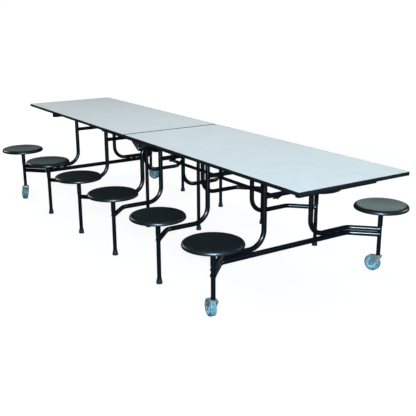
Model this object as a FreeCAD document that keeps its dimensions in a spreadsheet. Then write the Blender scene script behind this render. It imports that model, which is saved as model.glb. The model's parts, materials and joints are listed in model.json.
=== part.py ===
"""Folding dining table with twelve attached swivel stools.

Two leaves meet at a centre seam.  Three upright tube frames carry each leaf, and every frame
carries two stools.  The leaves swing on pivots at the tops of the frames and on a hinge under
the seam, so the middle of the table rises and the two halves close like a book.  A link rod
under the crossbars of each half keeps its three frames upright on the way.

X runs along the table, Y across it and Z up, with the origin on the floor under the middle.
Every piece is drawn for the right half (x above zero).  The left half is the right half turned
by half a turn about Z.
"""
import FreeCAD
import Part
import Sketcher

import math
import os
import re

from FreeCAD import Placement, Rotation, Vector

# Driving dimensions, in millimetres unless a line says otherwise.
SIZES = {
    # table top
    "table_length": 3658,
    "table_width": 762,
    "table_height": 737,
    "panel_thick": 19,
    "edge_band_thick": 3,
    "corner_radius": 5,
    "seam_gap": 14,
    # stations of the three frames of a half, and the axes of the fold
    "centre_frame_x": 135,
    "mid_frame_x": 725,
    "end_frame_x": 1300,
    "pivot_drop": 28,
    "hinge_drop": 60,
    # bent arms and their posts
    "tube_wall": 2,
    "arm_diameter": 30,
    "arm_y": 172,
    "arm_top_rise": 15,
    "arm_run_height": 273,
    "arm_bend_radius": 100,
    "plan_bend_radius": 60,
    "stool_reach": 608,
    "stool_offset": 140,
    "post_diameter": 25.4,
    "post_top_height": 388,
    "post_foot_height": 10,
    "post_caster_height": 107,
    # cross tubes
    "crossbar_diameter": 28,
    "crossbar_drop": 125,
    "centre_bar_drop": 122,
    "centre_bend_radius": 40,
    "centre_bend_rise": 37,
    "centre_dip_y": 60,
    "centre_dip_radius": 60,
    "lower_tube_diameter": 31.75,
    "lower_tube_height": 240,
    "leg_diameter": 25.4,
    "leg_y": 135,
    # pivot brackets under the leaf and their pins
    "bracket_gap": 0.75,
    "bracket_wall": 3,
    "bracket_length": 70,
    "bracket_depth": 45,
    "bracket_flange": 18,
    "pivot_pin_diameter": 10,
    "pin_clearance": 0.3,
    "pin_head_diameter": 17,
    "pin_head_thick": 4,
    # centre hinge
    "hinge_y": 265,
    "hinge_plate_thick": 5,
    "hinge_plate_gap": 0.5,
    "hinge_eye_radius": 20,
    "hinge_pin_diameter": 12,
    "hinge_head_diameter": 21,
    "hinge_flange_start": 8,
    "hinge_flange_length": 162,
    "hinge_flange_width": 40,
    "hinge_flange_thick": 4,
    "hinge_web_end": 8,
    "hinge_web_toe": 10,
    # battens under the leaf
    "batten_inset": 25,
    "batten_width": 25,
    "batten_depth": 16,
    "batten_near_reach": 362,
    "batten_far_reach": 161,
    "grip_size": 32,
    "grip_wall": 2,
    "grip_start_y": 215,
    "grip_end_y": 372,
    # link rod
    "rod_y": 60,
    "rod_drop": 152,
    "rod_offset": 40,
    "rod_diameter": 21.3,
    "rod_overhang": 16,
    "lug_gap": 0.75,
    "lug_thick": 4,
    "lug_half_width": 12,
    "link_pin_diameter": 8,
    "link_head_diameter": 14,
    "link_head_thick": 3,
    # feet
    "foot_diameter": 38,
    "foot_top_diameter": 30,
    "foot_base_height": 12,
    "foot_height": 36,
    # seats
    "seat_diameter": 330,
    "seat_top_height": 430,
    "seat_thick": 31,
    "seat_rim_depth": 25,
    "seat_dish": 5,
    "seat_rim_width": 26,
    "seat_top_round": 18,
    "seat_bottom_round": 6,
    "seat_boss_diameter": 160,
    "seat_skirt_width": 23,
    "seat_recess_depth": 21,
    "stem_wall": 2,
    "stem_clearance": 0.3,
    "stem_bottom_height": 293,
    "stem_plate_diameter": 150,
    "stem_plate_thick": 5,
    "stem_boss_diameter": 60,
    "stem_boss_height": 5,
    # casters
    "wheel_diameter": 100,
    "wheel_width": 36,
    "wheel_round": 6,
    "hub_diameter": 44,
    "hub_width": 41,
    "axle_diameter": 10,
    "axle_clearance": 0.3,
    "axle_head_diameter": 18,
    "axle_head_thick": 4,
    "caster_trail": 36,
    "caster_stem_length": 45,
    "caster_stem_clearance": 0.3,
    "crown_diameter": 46,
    "crown_thick": 6,
    "crown_clearance": 0.3,
    "fork_thick": 3,
    "fork_half_width": 15,
    "fork_clearance": 0.8,
    # how far each caster is turned about its stem, in degrees
    "caster_angle_right_near": -12,
    "caster_angle_right_far": 12,
    "caster_angle_left_near": -30,
    "caster_angle_left_far": 30,
    # every cut runs past the piece by this much
    "overrun": 2,
}

ALONG_Y = Rotation(Vector(1, 0, 0), -90)
ALONG_X = Rotation(Vector(0, 1, 0), 90)
UPRIGHT = Rotation()
HALF_TURN = Rotation(Vector(0, 0, 1), 180)

# Places that many pieces share, written in the driving dimensions.
UNDERSIDE = "(table_height - panel_thick)"
LEAF_END = "(table_length / 2)"
LEAF_START = "(seam_gap / 2)"
PIVOT_HEIGHT = f"({UNDERSIDE} - pivot_drop)"
HINGE_HEIGHT = f"({PIVOT_HEIGHT} - hinge_drop)"
CROSSBAR_HEIGHT = f"({PIVOT_HEIGHT} - crossbar_drop)"
CENTRE_BAR_HEIGHT = f"({PIVOT_HEIGHT} - centre_bar_drop)"
ROD_HEIGHT = f"({PIVOT_HEIGHT} - rod_drop)"
BRACKET_INSIDE = "(arm_diameter + 2 * bracket_gap)"
LEG_BRACKET_INSIDE = "(leg_diameter + 2 * bracket_gap)"
SEAT_BOTTOM = "(seat_top_height - seat_thick)"
SEAT_RIM = "(seat_top_height - seat_rim_depth)"
WHEEL_RADIUS = "(wheel_diameter / 2)"

FRAME_X = {"centre": "centre_frame_x", "mid": "mid_frame_x", "end": "end_frame_x"}
SIDES = {"right": 1, "left": -1}
TURNS = {"right": UPRIGHT, "left": HALF_TURN}

doc = FreeCAD.newDocument("stool_table")
sheet = doc.addObject("Spreadsheet::Sheet", "sizes")
for row, (alias, number) in enumerate(SIZES.items(), start=1):
    sheet.set(f"A{row}", alias)
    sheet.set(f"B{row}", str(number))
    sheet.setAlias(f"B{row}", alias)
doc.recompute()

sub_parts = {}


def bound(text):
    """The expression text with every driving dimension read from the sheet."""
    return re.sub(r"[a-z_]+", lambda word: f"sizes.{word[0]}" if word[0] in SIZES else word[0], text)


def value(text):
    """The present value of an expression, in millimetres."""
    return float(sheet.evalExpression(bound(text)))


def add(kind, name, place=("0", "0", "0"), turn=UPRIGHT, **expressions):
    """A document object whose sizes and place follow the sheet."""
    made = doc.addObject(kind, name)
    made.Placement = Placement(Vector(), turn)
    for letter, text in zip("xyz", place):
        made.setExpression(f"Placement.Base.{letter}", bound(text))
    for field, text in expressions.items():
        made.setExpression(field, bound(text))
    return made


def box(name, length, width, height, place):
    """A box that is centred on the place in X and Y and stands on it."""
    corner = (f"{place[0]} - ({length}) / 2", f"{place[1]} - ({width}) / 2", place[2])
    return add("Part::Box", name, corner, Length=length, Width=width, Height=height)


def rod(name, diameter, length, place, turn=UPRIGHT):
    """A cylinder that starts at the place."""
    return add("Part::Cylinder", name, place, turn, Radius=f"({diameter}) / 2", Height=length)


def cut(name, base, tool):
    made = doc.addObject("Part::Cut", name)
    made.Base = base
    made.Tool = tool
    return made


def fuse(name, pieces):
    made = doc.addObject("Part::MultiFuse", name)
    made.Shapes = pieces
    return made


def group(name, pieces):
    made = doc.addObject("Part::Compound", name)
    made.Links = pieces
    return made


def keep(label, made, side="right"):
    """Files the object as a sub-part, turned over to the left half where it belongs there."""
    made.Label = label
    if side == "left":
        made.Placement = Placement(Vector(), HALF_TURN)
    sub_parts[label] = made


def keep_shape(label, shape, placement):
    """Files a shape that was worked out in code as a sub-part."""
    made = doc.addObject("Part::Feature", label)
    made.Shape = shape
    made.Placement = placement
    made.Label = label
    sub_parts[label] = made


def edge_name(local_y, side):
    """Which long edge of the table a stool of the given half stands at."""
    return "near" if local_y * SIDES[side] < 0 else "far"


# Table leaves

def rounded_board(name, length, width, radius, start):
    """A board under the table's top surface, with its two outer corners rounded."""
    board = add("Part::Box", f"{name}_board", (start, f"-({width}) / 2", UNDERSIDE),
                Length=length, Width=width, Height="panel_thick")
    doc.recompute()
    outer_x = value(f"{start} + {length}")
    size = value(radius)
    corners = []
    for number, edge in enumerate(board.Shape.Edges, start=1):
        upright = edge.BoundBox.ZLength > edge.BoundBox.YLength
        if upright and math.isclose(edge.CenterOfMass.x, outer_x):
            corners.append((number, size, size))
    rounded = doc.addObject("Part::Fillet", name)
    rounded.Base = board
    rounded.Edges = corners
    return rounded


def leaf(side):
    core = rounded_board(f"core_{side}", f"{LEAF_END} - {LEAF_START} - 2 * edge_band_thick",
                         "(table_width - 2 * edge_band_thick)", "corner_radius - edge_band_thick",
                         f"{LEAF_START} + edge_band_thick")
    outline = rounded_board(f"outline_{side}", f"{LEAF_END} - {LEAF_START}", "table_width",
                            "corner_radius", LEAF_START)
    band = cut(f"band_{side}", outline, core)
    keep(f"edge_band_{side}", band, side)
    keep(f"leaf_core_{side}", group(f"core_group_{side}", [core]), side)


# Pivot brackets and pins under a leaf

def bracket(name, inside, x, y):
    """A folded bracket, open below, that straddles a tube top and is screwed up by its two flanges."""
    bottom = f"{UNDERSIDE} - bracket_depth"
    outside = f"({inside} + 2 * bracket_wall)"
    body = box(f"{name}_body", "bracket_length", outside, "bracket_depth", (x, y, bottom))
    slot = box(f"{name}_slot", "bracket_length + 2 * overrun", inside,
               "bracket_depth - bracket_wall + overrun", (x, y, f"{bottom} - overrun"))
    bore = rod(f"{name}_bore", "pivot_pin_diameter", f"{outside} + 2 * overrun",
               (x, f"{y} - {outside} / 2 - overrun", PIVOT_HEIGHT), ALONG_Y)
    plate = box(f"{name}_plate", "bracket_length", f"{outside} + 2 * bracket_flange", "bracket_wall",
                (x, y, f"{UNDERSIDE} - bracket_wall"))
    solid = fuse(f"{name}_solid", [body, plate])
    return cut(name, cut(f"{name}_folded", solid, slot), bore)


def headed_pin(name, diameter, grip, head, head_thick, middle):
    """A pin along Y about its middle, with a head at one end and a washer of that size at the other."""
    x, y, z = middle
    start = f"{y} - ({grip}) / 2 - {head_thick}"
    shank = rod(f"{name}_shank", diameter, f"{grip} + 2 * {head_thick}", (x, start, z), ALONG_Y)
    first = rod(f"{name}_head", head, head_thick, (x, start, z), ALONG_Y)
    second = rod(f"{name}_washer", head, head_thick, (x, f"{y} + ({grip}) / 2", z), ALONG_Y)
    return fuse(name, [shank, first, second])


def pivots(side):
    """Brackets and pins at every tube top that carries the leaf."""
    stations = [("leg", "centre_frame_x", "leg_y", LEG_BRACKET_INSIDE),
                ("centre", "centre_frame_x", "-arm_y", BRACKET_INSIDE)]
    for frame in ("mid", "end"):
        stations.append((f"{frame}_a", FRAME_X[frame], "-arm_y", BRACKET_INSIDE))
        stations.append((f"{frame}_b", FRAME_X[frame], "arm_y", BRACKET_INSIDE))
    brackets = []
    pins = []
    for station, x, y, inside in stations:
        brackets.append(bracket(f"bracket_{station}_{side}", inside, x, y))
        pins.append(headed_pin(f"pivot_{station}_{side}", "pivot_pin_diameter",
                               f"{inside} + 2 * bracket_wall", "pin_head_diameter", "pin_head_thick",
                               (x, y, PIVOT_HEIGHT)))
    keep(f"pivot_brackets_{side}", group(f"brackets_{side}", brackets), side)
    keep(f"pivot_pins_{side}", group(f"pivots_{side}", pins), side)


# Centre hinge

def draw_polygon(sketch, points):
    """A closed outline in a sketch, with every corner held at its distances from the origin."""
    corners = [Vector(value(across), value(up), 0) for across, up in points]
    for number, corner in enumerate(corners):
        following = corners[(number + 1) % len(corners)]
        sketch.addGeometry(Part.LineSegment(corner, following))
    for number, (across, up) in enumerate(points):
        previous = (number - 1) % len(points)
        sketch.addConstraint(Sketcher.Constraint("Coincident", number, 1, previous, 2))
        for kind, axis, text in (("DistanceX", -2, across), ("DistanceY", -1, up)):
            if text == "0":
                sketch.addConstraint(Sketcher.Constraint("PointOnObject", number, 1, axis))
            else:
                held = sketch.addConstraint(Sketcher.Constraint(kind, -1, 1, number, 1, value(text)))
                sketch.setExpression(f"Constraints[{held}]", bound(text))


def hinge_plate(name, y):
    """A triangular plate that hangs from a flange under the leaf and ends in the hinge eye."""
    flange = add("Part::Box", f"{name}_flange",
                 ("hinge_flange_start", y, f"{UNDERSIDE} - hinge_flange_thick"),
                 Length="hinge_flange_length", Width="hinge_flange_width", Height="hinge_flange_thick")
    body = doc.addObject("PartDesign::Body", f"{name}_web")
    sketch = body.newObject("Sketcher::SketchObject", f"{name}_outline")
    plane = next(item for item in body.Origin.OriginFeatures if item.Role == "XZ_Plane")
    sketch.AttachmentSupport = [(plane, "")]
    sketch.MapMode = "FlatFace"
    far_x = "hinge_flange_start + hinge_flange_length"
    outline = [("0", UNDERSIDE), (far_x, UNDERSIDE),
               (far_x, f"{UNDERSIDE} - hinge_web_end"),
               ("hinge_web_toe", f"{HINGE_HEIGHT} - hinge_eye_radius"),
               ("0", HINGE_HEIGHT)]
    draw_polygon(sketch, outline)
    pad = body.newObject("PartDesign::Pad", f"{name}_pad")
    pad.Profile = sketch
    pad.Reversed = True
    pad.setExpression("Length", bound("hinge_plate_thick"))
    body.setExpression("Placement.Base.y", bound(y))
    eye = rod(f"{name}_eye", "2 * hinge_eye_radius", "hinge_plate_thick",
              ("0", y, HINGE_HEIGHT), ALONG_Y)
    solid = fuse(f"{name}_solid", [flange, body, eye])
    bore = rod(f"{name}_bore", "hinge_pin_diameter + pin_clearance", "hinge_plate_thick + 2 * overrun",
               ("0", f"{y} - overrun", HINGE_HEIGHT), ALONG_Y)
    return cut(name, solid, bore)


def hinge(side):
    """The two plates of a half, which pass beside those of the other half."""
    gap = "hinge_plate_gap / 2"
    plates = [hinge_plate(f"hinge_{number}_{side}", f"{sign}hinge_y + {gap}")
              for number, sign in enumerate(("", "-"))]
    keep(f"hinge_plates_{side}", group(f"hinge_{side}", plates), side)


def hinge_pins():
    grip = "2 * hinge_plate_thick + hinge_plate_gap"
    pins = [headed_pin(f"hinge_pin_{number}", "hinge_pin_diameter", grip, "hinge_head_diameter",
                       "pin_head_thick", ("0", f"{sign}hinge_y", HINGE_HEIGHT))
            for number, sign in enumerate(("", "-"))]
    keep("hinge_pins", group("hinge_pin_group", pins))


# Battens

def battens(side):
    """The stiffener near the end of a leaf, and the short square tube that hands grip on one side."""
    stiffener = box(f"stiffener_{side}", "batten_width", "batten_near_reach + batten_far_reach",
                    "batten_depth", (f"{LEAF_END} - batten_inset - batten_width / 2",
                                     "(batten_far_reach - batten_near_reach) / 2",
                                     f"{UNDERSIDE} - batten_depth"))
    middle = "(grip_start_y + grip_end_y) / 2"
    length = "(grip_end_y - grip_start_y)"
    bottom = f"{UNDERSIDE} - grip_size"
    tube = box(f"grip_{side}", "grip_size", length, "grip_size", ("end_frame_x", middle, bottom))
    hollow = box(f"grip_hollow_{side}", "grip_size - 2 * grip_wall", f"{length} + 2 * overrun",
                 "grip_size - 2 * grip_wall", ("end_frame_x", middle, f"{bottom} + grip_wall"))
    grip = cut(f"grip_tube_{side}", tube, hollow)
    keep(f"under_battens_{side}", group(f"battens_{side}", [stiffener, grip]), side)


# Bent tubes

def bent_path(points, radii):
    """Straight runs through the points, with a tangent arc of the given radius at each inner point."""
    edges = []
    start = points[0]
    for before, corner, after, radius in zip(points, points[1:], points[2:], radii):
        into = Vector(corner - before).normalize()
        out = Vector(after - corner).normalize()
        turn = into.getAngle(out)
        reach = radius * math.tan(turn / 2)
        inward = Vector(out - into).normalize()
        first = corner - into * reach
        last = corner + out * reach
        middle = corner + inward * (radius / math.cos(turn / 2) - radius)
        edges.append(Part.LineSegment(start, first).toShape())
        edges.append(Part.Arc(first, middle, last).toShape())
        start = last
    edges.append(Part.LineSegment(start, points[-1]).toShape())
    return Part.Wire(edges)


def pipe(points, radii, radius):
    """A solid round bar along a bent path."""
    path = bent_path(points, radii)
    along = Vector(points[1] - points[0]).normalize()
    ring = Part.Wire(Part.makeCircle(radius, points[0], along))
    return path.makePipeShell([ring], True, False)


def shortened(points, start_trim, end_trim):
    """The path's points with its two ends drawn back along their runs."""
    first = points[0] + Vector(points[1] - points[0]).normalize() * start_trim
    last = points[-1] + Vector(points[-2] - points[-1]).normalize() * end_trim
    return [first] + points[1:-1] + [last]


class Weldment:
    """Round tubes that are welded together: all their outsides joined, less all their bores."""

    def __init__(self):
        self.outsides = []
        self.bores = []

    def tube(self, points, radii, diameter, start_trim=0, end_trim=0):
        wall = value("tube_wall")
        self.outsides.append(pipe(points, radii, diameter / 2))
        self.bores.append(pipe(shortened(points, start_trim, end_trim), radii, diameter / 2 - wall))

    def plate(self, start, end, half_width, thick, y):
        """A flat strap in the XZ plane from one point to another, round at its far end."""
        self.outsides.append(strap(start, end, half_width, thick, y))

    def hole(self, centre, diameter, length):
        """A bore along Y, centred on the point."""
        start = centre - Vector(0, length / 2, 0)
        self.bores.append(Part.makeCylinder(diameter / 2, length, start, Vector(0, 1, 0)))

    def shape(self):
        joined = self.outsides[0].multiFuse(self.outsides[1:])
        return joined.cut(self.bores)


def strap(start, end, half_width, thick, y):
    """A strap of even width from start to end, with a round end, that begins at y."""
    along = Vector(end - start).normalize()
    across = Vector(-along.z, 0, along.x) * half_width
    rise = Vector(0, y, 0)
    corners = [start + across, end + across, end - across, start - across, start + across]
    outline = Part.makePolygon([corner + rise for corner in corners])
    blade = Part.Face(outline).extrude(Vector(0, thick, 0))
    return blade.fuse(Part.makeCylinder(half_width, thick, end + rise, Vector(0, 1, 0)))


def stool_post(frame, sign, bottom):
    """The upright that a seat turns on; sign is the side of the table that it stands at."""
    foot = Vector(value("stool_offset"), sign * value("stool_reach"), value(bottom))
    top = Vector(foot.x, foot.y, value("post_top_height"))
    frame.tube([foot, top], [], value("post_diameter"), 0, value("tube_wall"))


def arm_start(sign):
    """The arm's points from its post to the foot of its upright."""
    level = value("arm_run_height")
    corner_y = value("stool_reach - stool_offset")
    return [Vector(value("stool_offset"), sign * value("stool_reach"), level),
            Vector(0, sign * corner_y, level),
            Vector(0, sign * value("arm_y"), level)]


def straight_arm(frame, sign):
    """An arm that rises from its bend straight to the leaf's pivot."""
    top = Vector(0, sign * value("arm_y"), value(f"{PIVOT_HEIGHT} + arm_top_rise"))
    radii = [value("plan_bend_radius"), value("arm_bend_radius")]
    post_trim = value("post_diameter / 2 + tube_wall")
    frame.tube(arm_start(sign) + [top], radii, value("arm_diameter"), post_trim)
    pivot = Vector(0, sign * value("arm_y"), value(PIVOT_HEIGHT))
    frame.hole(pivot, value("pivot_pin_diameter + pin_clearance"), value("arm_diameter + 2 * overrun"))


def link_lugs(frame, bar_height):
    """The two straps under a crossbar that hold the link rod's pin."""
    bar = Vector(0, 0, value(bar_height))
    eye = Vector(-value("rod_offset"), 0, value(ROD_HEIGHT))
    rod_side = value("rod_diameter / 2 + lug_gap")
    thick = value("lug_thick")
    for y in (rod_side, -rod_side - thick):
        frame.plate(bar, eye, value("lug_half_width"), thick, y - value("rod_y"))
    centre = eye - Vector(0, value("rod_y"), 0)
    length = 2 * (rod_side + thick + value("overrun"))
    frame.hole(centre, value("link_pin_diameter + pin_clearance"), length)


def crossbar(frame):
    """The tube between the two uprights of a frame."""
    ends = [Vector(0, sign * value("arm_y"), value(CROSSBAR_HEIGHT)) for sign in (-1, 1)]
    trim = value("arm_diameter / 2")
    frame.tube(ends, [], value("crossbar_diameter"), trim, trim)
    link_lugs(frame, CROSSBAR_HEIGHT)


def mid_frame():
    frame = Weldment()
    for sign in (-1, 1):
        straight_arm(frame, sign)
        stool_post(frame, sign, "post_foot_height")
    crossbar(frame)
    return frame.shape()


def end_frame():
    """Like the mid frame, with posts for casters and a second tube from post to post."""
    frame = Weldment()
    for sign in (-1, 1):
        straight_arm(frame, sign)
        stool_post(frame, sign, "post_caster_height")
    crossbar(frame)
    drop = Vector(0, 0, value("arm_run_height - lower_tube_height"))
    near = [point - drop for point in arm_start(-1)[:2]]
    far = [point - drop for point in reversed(arm_start(1)[:2])]
    trim = value("post_diameter / 2 + tube_wall")
    bend = value("plan_bend_radius")
    frame.tube(near + far, [bend, bend], value("lower_tube_diameter"), trim, trim)
    return frame.shape()


def centre_frame():
    """One arm rises to the leaf.  The other bends over beside the centre leg and dips to the crossbar."""
    frame = Weldment()
    straight_arm(frame, -1)
    for sign in (-1, 1):
        stool_post(frame, sign, "post_foot_height")
    level = value(CENTRE_BAR_HEIGHT)
    points = arm_start(1) + [Vector(0, value("arm_y"), level + value("centre_bend_rise")),
                             Vector(0, value("centre_dip_y"), level),
                             Vector(0, -value("arm_y"), level)]
    radii = [value("plan_bend_radius"), value("arm_bend_radius"), value("centre_bend_radius"),
             value("centre_dip_radius")]
    post_trim = value("post_diameter / 2 + tube_wall")
    frame.tube(points, radii, value("arm_diameter"), post_trim, value("arm_diameter / 2"))
    leg_y = value("leg_y")
    leg_foot = Vector(0, leg_y, value("post_foot_height"))
    leg_top = Vector(0, leg_y, value(f"{PIVOT_HEIGHT} + arm_top_rise"))
    frame.tube([leg_foot, leg_top], [], value("leg_diameter"))
    pivot = Vector(0, leg_y, value(PIVOT_HEIGHT))
    frame.hole(pivot, value("pivot_pin_diameter + pin_clearance"), value("leg_diameter + 2 * overrun"))
    link_lugs(frame, CENTRE_BAR_HEIGHT)
    return frame.shape()


def frames():
    for frame, build in (("end", end_frame), ("mid", mid_frame), ("centre", centre_frame)):
        shape = build()
        for side, sign in SIDES.items():
            station = Vector(sign * value(FRAME_X[frame]), 0, 0)
            keep_shape(f"{frame}_frame_{side}", shape, Placement(station, TURNS[side]))


# Link rods

def link_rod(side):
    """The rod that ties the three crossbars of a half, with a pin at each of them."""
    start = "(centre_frame_x - rod_offset - rod_overhang)"
    length = f"(end_frame_x - rod_offset + rod_overhang - {start})"
    bar = rod(f"rod_bar_{side}", "rod_diameter", length, (start, "-rod_y", ROD_HEIGHT), ALONG_X)
    hollow = rod(f"rod_hollow_{side}", "rod_diameter - 2 * tube_wall", f"{length} + 2 * overrun",
                 (f"{start} - overrun", "-rod_y", ROD_HEIGHT), ALONG_X)
    made = cut(f"rod_tube_{side}", bar, hollow)
    pins = []
    grip = "rod_diameter + 2 * lug_gap + 2 * lug_thick"
    for frame, x in FRAME_X.items():
        eye = f"({x} - rod_offset)"
        bore = rod(f"rod_bore_{frame}_{side}", "link_pin_diameter", "rod_diameter + 2 * overrun",
                   (eye, "-rod_y - rod_diameter / 2 - overrun", ROD_HEIGHT), ALONG_Y)
        made = cut(f"rod_{frame}_{side}", made, bore)
        pins.append(headed_pin(f"link_pin_{frame}_{side}", "link_pin_diameter", grip,
                               "link_head_diameter", "link_head_thick", (eye, "-rod_y", ROD_HEIGHT)))
    keep(f"link_rod_{side}", group(f"rod_group_{side}", [made]), side)
    keep(f"link_pins_{side}", group(f"link_pin_group_{side}", pins), side)


# Feet

def foot(name, x, y, diameter):
    """A bell-shaped boot pushed over the end of a post or leg."""
    base = rod(f"{name}_base", "foot_diameter", "foot_base_height", (x, y, "0"))
    bell = add("Part::Cone", f"{name}_bell", (x, y, "foot_base_height"), Radius1="foot_diameter / 2",
               Radius2="foot_top_diameter / 2", Height="foot_height - foot_base_height")
    socket = rod(f"{name}_socket", diameter, "foot_height", (x, y, "post_foot_height"))
    return cut(name, fuse(f"{name}_boot", [base, bell]), socket)


def feet(side):
    for frame in ("mid", "centre"):
        x = f"({FRAME_X[frame]} + stool_offset)"
        boots = [foot(f"foot_{frame}_{number}_{side}", x, y, "post_diameter")
                 for number, y in enumerate(("stool_reach", "-stool_reach"))]
        if frame == "centre":
            boots.append(foot(f"foot_leg_{side}", "centre_frame_x", "leg_y", "leg_diameter"))
        keep(f"{frame}_feet_{side}", group(f"{frame}_boots_{side}", boots), side)


# Stools

def seat_shell(name, place):
    """A round moulded seat, a little dished, with a rounded rim and a hollow round its deeper boss."""
    body = doc.addObject("PartDesign::Body", name)
    sketch = body.newObject("Sketcher::SketchObject", f"{name}_profile")
    plane = next(item for item in body.Origin.OriginFeatures if item.Role == "XZ_Plane")
    sketch.AttachmentSupport = [(plane, "")]
    sketch.MapMode = "FlatFace"
    radius = "seat_diameter / 2"
    boss = "seat_boss_diameter / 2"
    skirt = f"{radius} - seat_skirt_width"
    ceiling = f"{SEAT_BOTTOM} + seat_recess_depth"
    draw_polygon(sketch, [("0", SEAT_BOTTOM), (boss, SEAT_BOTTOM), (boss, ceiling), (skirt, ceiling),
                          (skirt, SEAT_RIM), (radius, SEAT_RIM), (radius, "seat_top_height"),
                          (f"{radius} - seat_rim_width", "seat_top_height"),
                          ("0", "seat_top_height - seat_dish")])
    turned = body.newObject("PartDesign::Revolution", f"{name}_turned")
    turned.Profile = sketch
    turned.ReferenceAxis = (sketch, ["V_Axis"])
    turned.Angle = 360
    doc.recompute()
    base = turned
    for end, height, size in (("top", "seat_top_height", "seat_top_round"),
                              ("bottom", SEAT_RIM, "seat_bottom_round")):
        rim = [f"Edge{number}" for number, edge in enumerate(base.Shape.Edges, start=1)
               if on_rim(edge, value(radius), value(height))]
        rounding = body.newObject("PartDesign::Fillet", f"{name}_{end}_round")
        rounding.Base = (base, rim)
        rounding.setExpression("Radius", bound(size))
        doc.recompute()
        base = rounding
    for letter, text in zip("xy", place):
        body.setExpression(f"Placement.Base.{letter}", bound(text))
    return body


def on_rim(edge, radius, height):
    """Whether an edge is the circle of the given radius at the given height."""
    return (isinstance(edge.Curve, Part.Circle) and math.isclose(edge.Curve.Radius, radius)
            and math.isclose(edge.Curve.Center.z, height))


def seat_stem(name, x, y):
    """The sleeve that turns on the post, closed by the plate that the seat is screwed to."""
    plate_bottom = f"({SEAT_BOTTOM} - stem_plate_thick)"
    bore_diameter = "(post_diameter + 2 * stem_clearance)"
    sleeve = rod(f"{name}_sleeve", f"{bore_diameter} + 2 * stem_wall",
                 f"{plate_bottom} - stem_bottom_height", (x, y, "stem_bottom_height"))
    boss = add("Part::Cone", f"{name}_boss", (x, y, f"{plate_bottom} - stem_boss_height"),
               Radius1=f"{bore_diameter} / 2 + stem_wall", Radius2="stem_boss_diameter / 2",
               Height="stem_boss_height")
    plate = rod(f"{name}_plate", "stem_plate_diameter", "stem_plate_thick", (x, y, plate_bottom))
    bore_top = "(post_top_height + stem_clearance)"
    bore = rod(f"{name}_bore", bore_diameter, f"{bore_top} - stem_bottom_height + overrun",
               (x, y, "stem_bottom_height - overrun"))
    return cut(name, fuse(f"{name}_solid", [sleeve, boss, plate]), bore)


def stools(side):
    sign = "" if side == "right" else "-"
    for frame, frame_x in FRAME_X.items():
        for local_y in (-1, 1):
            edge = edge_name(local_y, side)
            x = f"{sign}({frame_x} + stool_offset)"
            y = "-stool_reach" if edge == "near" else "stool_reach"
            place = f"{side}_{frame}_{edge}"
            keep(f"seat_{place}", seat_shell(f"seat_{place}_body", (x, y)))
            keep(f"seat_stem_{place}", seat_stem(f"stem_{place}", x, y))


# Casters

def caster_fork():
    """Stem, crown, two slanted cheeks and the axle between them, with the stem on the Z axis."""
    across = Vector(0, 1, 0)
    crown_top = value("post_caster_height - crown_clearance")
    crown_thick = value("crown_thick")
    crown_radius = value("crown_diameter / 2")
    half_gap = value("hub_width / 2 + fork_clearance")
    thick = value("fork_thick")
    head = value("axle_head_thick")
    reach = half_gap + thick
    axle = Vector(-value("caster_trail"), 0, value(WHEEL_RADIUS))
    shoulder = Vector(0, 0, crown_top - crown_thick / 2)
    crown = Part.makeCylinder(crown_radius, crown_thick, Vector(0, 0, crown_top - crown_thick))
    pieces = []
    for y in (half_gap, -reach):
        pieces.append(strap(shoulder, axle, value("fork_half_width"), thick, y))
    span = 2 * (reach + head)
    pieces.append(Part.makeCylinder(value("axle_diameter / 2"), span, axle - across * span / 2, across))
    head_radius = value("axle_head_diameter / 2")
    for start in (-reach - head, reach):
        pieces.append(Part.makeCylinder(head_radius, head, axle + across * start, across))
    size = value("crown_diameter")
    above = Part.makeBox(2 * size, 2 * size, size, Vector(-size, -size, crown_top))
    fork = crown.multiFuse(pieces).cut(above)
    stem_radius = value("post_diameter / 2 - tube_wall - caster_stem_clearance")
    stem_start = Vector(0, 0, crown_top - crown_thick)
    stem = Part.makeCylinder(stem_radius, value("caster_stem_length") + crown_thick, stem_start)
    return fork.fuse(stem).removeSplitter()


def caster_wheel(name, place, turn):
    """A solid tyre with a hub that stands a little proud of it, bored for the axle."""
    half = "wheel_width / 2"
    tyre = rod(f"{name}_tyre", "wheel_diameter", "wheel_width", ("0", f"-{half}", "0"), ALONG_Y)
    doc.recompute()
    size = value("wheel_round")
    rims = [(number, size, size) for number, edge in enumerate(tyre.Shape.Edges, start=1)
            if isinstance(edge.Curve, Part.Circle)]
    rounded = doc.addObject("Part::Fillet", f"{name}_rounded")
    rounded.Base = tyre
    rounded.Edges = rims
    hub = rod(f"{name}_hub", "hub_diameter", "hub_width", ("0", "-hub_width / 2", "0"), ALONG_Y)
    bore = rod(f"{name}_bore", "axle_diameter + axle_clearance", "hub_width + 2 * overrun",
               ("0", "-hub_width / 2 - overrun", "0"), ALONG_Y)
    made = cut(name, fuse(f"{name}_solid", [rounded, hub]), bore)
    made.Placement = Placement(Vector(), turn)
    for letter, text in zip("xyz", place):
        made.setExpression(f"Placement.Base.{letter}", bound(text))
    return made


def casters(side):
    """Swivel casters under the end frame's posts, with their wheels trailing towards the middle."""
    shape = caster_fork()
    outward, inward = ("", "-") if side == "right" else ("-", "+")
    for local_y in (-1, 1):
        edge = edge_name(local_y, side)
        angle = f"caster_angle_{side}_{edge}"
        turn = Rotation(Vector(0, 0, 1), value(angle)).multiply(TURNS[side])
        post_x = f"{outward}(end_frame_x + stool_offset)"
        post_y = "-stool_reach" if edge == "near" else "stool_reach"
        under_post = Vector(value(post_x), value(post_y), 0)
        keep_shape(f"caster_fork_{side}_{edge}", shape, Placement(under_post, turn))
        axle_x = f"{post_x} {inward} caster_trail * cos({angle})"
        axle_y = f"{post_y} {inward} caster_trail * sin({angle})"
        wheel = caster_wheel(f"wheel_{side}_{edge}", (axle_x, axle_y, WHEEL_RADIUS), turn)
        keep(f"caster_wheel_{side}_{edge}", wheel)


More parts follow.
